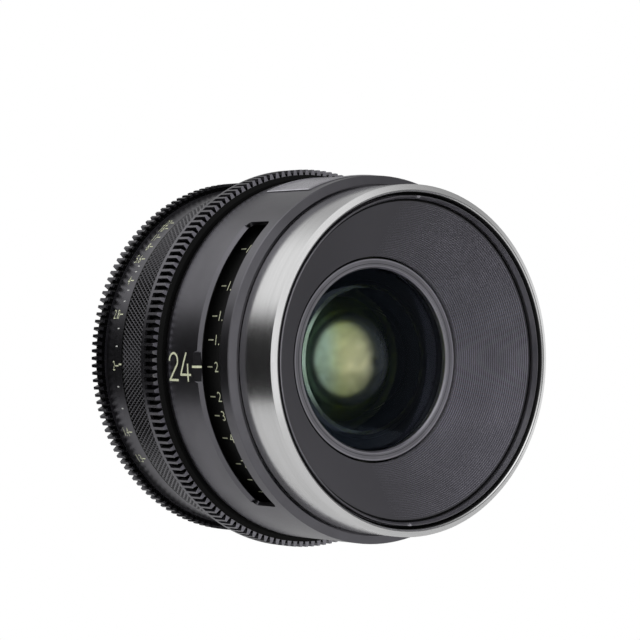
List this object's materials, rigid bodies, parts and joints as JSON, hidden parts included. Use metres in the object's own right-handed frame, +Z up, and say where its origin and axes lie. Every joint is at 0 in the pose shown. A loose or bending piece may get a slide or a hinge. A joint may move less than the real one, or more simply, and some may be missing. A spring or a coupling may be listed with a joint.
{
  "type": "cinema prime lens",
  "caption": "Cinema prime lens with geared focus and iris rings, a side scale window, a nine-leaf iris and a four-tab bayonet mount.",
  "frame": {"origin": "on the optical axis at the flange seat, at the root of the mount throat", "axes": "+Y runs along the optical axis to the camera, -Y is where the front glass looks, +Z is up, +X is to the right seen from the front"},
  "size_m": [0.128, 0.1355, 0.128],
  "materials": {
    "polished_silver": "polished, light turning marks",
    "black_anodised": "matt black anodised",
    "gunmetal": "fine bead blasted, dark grey anodised",
    "dark_anodised": "satin dark anodised",
    "plate_grey": "satin, bevelled edge",
    "screw_steel": "plain machined",
    "glide": "white low friction plastic",
    "mount_steel": "turned and ground",
    "shim": "plain sheet",
    "glass": "polished, green and violet coated",
    "blade": "matt black blued spring steel"
  },
  "bodies": {
    "barrel": {"main_barrel": "black_anodised", "front_ring": "polished_silver", "retaining_ring": "black_anodised", "ribbed_baffle": "black_anodised", "front_barrel": "gunmetal", "top_plate": "plate_grey", "front_ring_screws": "screw_steel", "front_glide_ring": "glide", "rear_glide_ring": "glide", "index_ring": "black_anodised", "focus_stop_pin": "screw_steel", "rear_barrel": "dark_anodised", "rear_barrel_screws": "screw_steel", "shim_ring": "shim", "mount_plate": "mount_steel", "mount_screws": "screw_steel"},
    "focus_ring": {"focus_grip": "dark_anodised", "focus_gear": "dark_anodised", "focus_seal_ring": "black_anodised", "scale_drum": "black_anodised", "cam_sleeve": "black_anodised", "grip_screws": "screw_steel"},
    "iris_ring": {"iris_scale_ring": "dark_anodised", "iris_gear": "dark_anodised", "iris_drive_arm": "screw_steel"},
    "optical_cell": {"cell_tube": "black_anodised", "front_cell": "black_anodised", "cell_screws": "screw_steel", "front_bezel": "black_anodised", "element_1": "glass", "element_2": "glass", "element_3": "glass", "element_4": "glass", "element_5": "glass", "spacer_a": "black_anodised", "spacer_b": "black_anodised", "spacer_c": "black_anodised", "iris_housing": "black_anodised", "iris_snap_ring": "screw_steel", "rear_cell": "black_anodised", "element_6": "glass", "element_7": "glass", "element_8": "glass", "element_9": "glass", "rear_spacer": "black_anodised", "rear_retainer": "black_anodised", "follower_pin": "screw_steel", "guide_keys": "screw_steel"},
    "iris_cam": {"iris_cam_ring": "screw_steel", "iris_cam_pin": "screw_steel"},
    "blade_1": {"blade_1": "blade"},
    "blade_2": {"blade_2": "blade"},
    "blade_3": {"blade_3": "blade"},
    "blade_4": {"blade_4": "blade"},
    "blade_5": {"blade_5": "blade"},
    "blade_6": {"blade_6": "blade"},
    "blade_7": {"blade_7": "blade"},
    "blade_8": {"blade_8": "blade"},
    "blade_9": {"blade_9": "blade"}
  },
  "joints": [
    {"name": "focus_turn", "type": "hinge", "parent": "barrel", "child": "focus_ring", "pos_m": [0, -0.05, 0], "axis": [0, -1, 0], "range_deg": [-48.6, 251.4]},
    {"name": "focus_travel", "type": "slide", "parent": "barrel", "child": "optical_cell", "axis": [0, -1, 0], "range_m": [-0.00041, 0.0021]},
    {"name": "iris_turn", "type": "hinge", "parent": "barrel", "child": "iris_ring", "pos_m": [0, -0.025, 0], "axis": [0, -1, 0], "range_deg": [-33, 52]},
    {"name": "iris_cam_turn", "type": "hinge", "parent": "optical_cell", "child": "iris_cam", "pos_m": [0, -0.0288, 0], "axis": [0, -1, 0], "range_deg": [-33, 52]},
    {"name": "blade_1_turn", "type": "hinge", "parent": "optical_cell", "child": "blade_1", "pos_m": [0.0265, -0.0315, 0], "axis": [0, -1, 0], "range_deg": [-12, 18.9]},
    {"name": "blade_2_turn", "type": "hinge", "parent": "optical_cell", "child": "blade_2", "pos_m": [0.0203, -0.0315, 0.01703], "axis": [0, -1, 0], "range_deg": [-12, 18.9]},
    {"name": "blade_3_turn", "type": "hinge", "parent": "optical_cell", "child": "blade_3", "pos_m": [0.0046, -0.0315, 0.0261], "axis": [0, -1, 0], "range_deg": [-12, 18.9]},
    {"name": "blade_4_turn", "type": "hinge", "parent": "optical_cell", "child": "blade_4", "pos_m": [-0.01325, -0.0315, 0.02295], "axis": [0, -1, 0], "range_deg": [-12, 18.9]},
    {"name": "blade_5_turn", "type": "hinge", "parent": "optical_cell", "child": "blade_5", "pos_m": [-0.0249, -0.0315, 0.00906], "axis": [0, -1, 0], "range_deg": [-12, 18.9]},
    {"name": "blade_6_turn", "type": "hinge", "parent": "optical_cell", "child": "blade_6", "pos_m": [-0.0249, -0.0315, -0.00906], "axis": [0, -1, 0], "range_deg": [-12, 18.9]},
    {"name": "blade_7_turn", "type": "hinge", "parent": "optical_cell", "child": "blade_7", "pos_m": [-0.01325, -0.0315, -0.02295], "axis": [0, -1, 0], "range_deg": [-12, 18.9]},
    {"name": "blade_8_turn", "type": "hinge", "parent": "optical_cell", "child": "blade_8", "pos_m": [0.0046, -0.0315, -0.0261], "axis": [0, -1, 0], "range_deg": [-12, 18.9]},
    {"name": "blade_9_turn", "type": "hinge", "parent": "optical_cell", "child": "blade_9", "pos_m": [0.0203, -0.0315, -0.01703], "axis": [0, -1, 0], "range_deg": [-12, 18.9]}
  ],
  "couplings": [
    {"joint": "focus_travel", "follows": "focus_turn", "m_per_rad": 0.00047746},
    {"joint": "iris_cam_turn", "follows": "iris_turn", "ratio": 1},
    {"joint": "blade_1_turn", "follows": "iris_turn", "ratio": 0.363},
    {"joint": "blade_2_turn", "follows": "iris_turn", "ratio": 0.363},
    {"joint": "blade_3_turn", "follows": "iris_turn", "ratio": 0.363},
    {"joint": "blade_4_turn", "follows": "iris_turn", "ratio": 0.363},
    {"joint": "blade_5_turn", "follows": "iris_turn", "ratio": 0.363},
    {"joint": "blade_6_turn", "follows": "iris_turn", "ratio": 0.363},
    {"joint": "blade_7_turn", "follows": "iris_turn", "ratio": 0.363},
    {"joint": "blade_8_turn", "follows": "iris_turn", "ratio": 0.363},
    {"joint": "blade_9_turn", "follows": "iris_turn", "ratio": 0.363}
  ]
}
